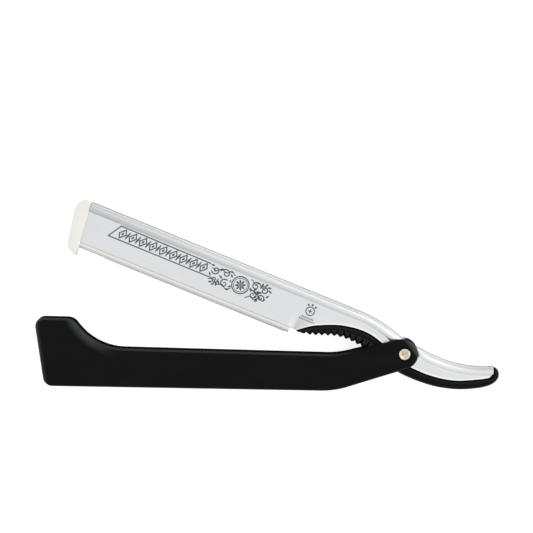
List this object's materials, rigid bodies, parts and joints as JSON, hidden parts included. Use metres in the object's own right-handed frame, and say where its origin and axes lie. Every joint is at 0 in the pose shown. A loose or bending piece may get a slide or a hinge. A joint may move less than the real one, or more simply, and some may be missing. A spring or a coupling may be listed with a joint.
{
  "type": "straight razor",
  "caption": "Folding barber's straight razor: a folded sheet-metal holder with a slide-in cartridge and replaceable blade, pivoting in a slotted plastic handle.",
  "frame": {"origin": "centre of the bounding box in X and Y, on the flat outer face of the back cheek", "axes": "+Z along the pivot, out of the front cheek; +X along the handle from its foot to its pivot end; +Y from the handle's back towards the spine of the half-open blade arm"},
  "size_m": [0.1468, 0.0601, 0.0082],
  "materials": {
    "handle_plastic": "satin moulded black",
    "core_plastic": "fine matt moulded black",
    "insert_plastic": "smooth ivory white",
    "holder_steel": "fine satin, polished edges",
    "blade_steel": "ground and honed",
    "pivot_metal": "nickel silver, turned and lightly worn",
    "washer_metal": "plain rolled brass"
  },
  "bodies": {
    "handle_body": {"handle": "handle_plastic", "pivot_rivet": "pivot_metal", "rivet_burr": "pivot_metal", "front_washer": "washer_metal", "back_washer": "washer_metal"},
    "blade_arm": {"holder_shell": "holder_steel", "grip_core": "core_plastic", "blade_insert": "insert_plastic", "blade": "blade_steel"}
  },
  "joints": [
    {"name": "arm_pivot", "type": "hinge", "parent": "handle_body", "child": "blade_arm", "pos_m": [0.04346, -0.01853, 0.004], "axis": [0, 0, -1], "range_deg": [-20.5, 300]}
  ]
}
